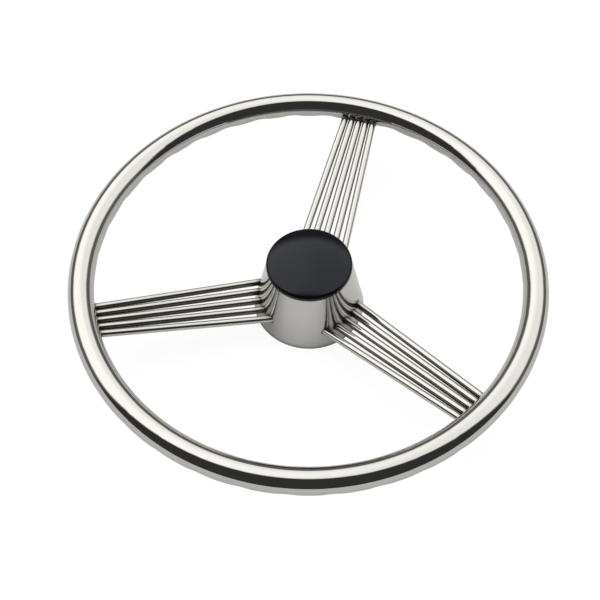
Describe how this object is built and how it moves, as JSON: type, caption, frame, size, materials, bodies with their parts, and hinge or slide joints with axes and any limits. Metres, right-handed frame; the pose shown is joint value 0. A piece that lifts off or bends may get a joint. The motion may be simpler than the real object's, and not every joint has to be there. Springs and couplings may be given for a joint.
{
  "type": "steering wheel",
  "caption": "Round tube steering wheel with fans of thin rods for spokes, a conical hub, a domed centre cap and finger grips under the rim.",
  "frame": {"origin": "on the wheel axis, level with the hub's back edge, at the mouth of the shaft bore", "axes": "+Z along the wheel axis toward the person steering, +Y along the first spoke, +X to the right"},
  "size_m": [0.394, 0.394, 0.0655],
  "materials": {
    "polished_steel": "mirror polished stainless steel",
    "machined_steel": "turned stainless steel",
    "black_plastic": "glossy black",
    "black_rubber": "matte black"
  },
  "bodies": {
    "wheel": {"rim": "polished_steel", "spoke_1_rod_1": "polished_steel", "spoke_1_rod_2": "polished_steel", "spoke_1_rod_3": "polished_steel", "spoke_1_rod_4": "polished_steel", "spoke_1_rod_5": "polished_steel", "spoke_2_rod_1": "polished_steel", "spoke_2_rod_2": "polished_steel", "spoke_2_rod_3": "polished_steel", "spoke_2_rod_4": "polished_steel", "spoke_2_rod_5": "polished_steel", "spoke_3_rod_1": "polished_steel", "spoke_3_rod_2": "polished_steel", "spoke_3_rod_3": "polished_steel", "spoke_3_rod_4": "polished_steel", "spoke_3_rod_5": "polished_steel", "hub_core": "machined_steel", "back_plate": "machined_steel", "hub_cover": "polished_steel"},
    "washers": {"flat_washer": "machined_steel", "lock_washer": "machined_steel"},
    "nut": {"hub_nut": "machined_steel"},
    "cap": {"centre_cap": "black_plastic", "cap_ring": "black_rubber"}
  },
  "joints": [
    {"name": "washer_lift", "type": "slide", "parent": "wheel", "child": "washers", "axis": [0, 0, 1], "range_m": [0, 0.0057]},
    {"name": "nut_turn", "type": "hinge", "parent": "washers", "child": "nut", "pos_m": [0, 0, 0.0418], "axis": [0, 0, 1], "range_deg": [0, 1440]},
    {"name": "cap_lift", "type": "slide", "parent": "wheel", "child": "cap", "axis": [0, 0, 1], "range_m": [0, 0.06]}
  ],
  "couplings": [
    {"joint": "washer_lift", "follows": "nut_turn", "m_per_rad": 0.00022459}
  ]
}
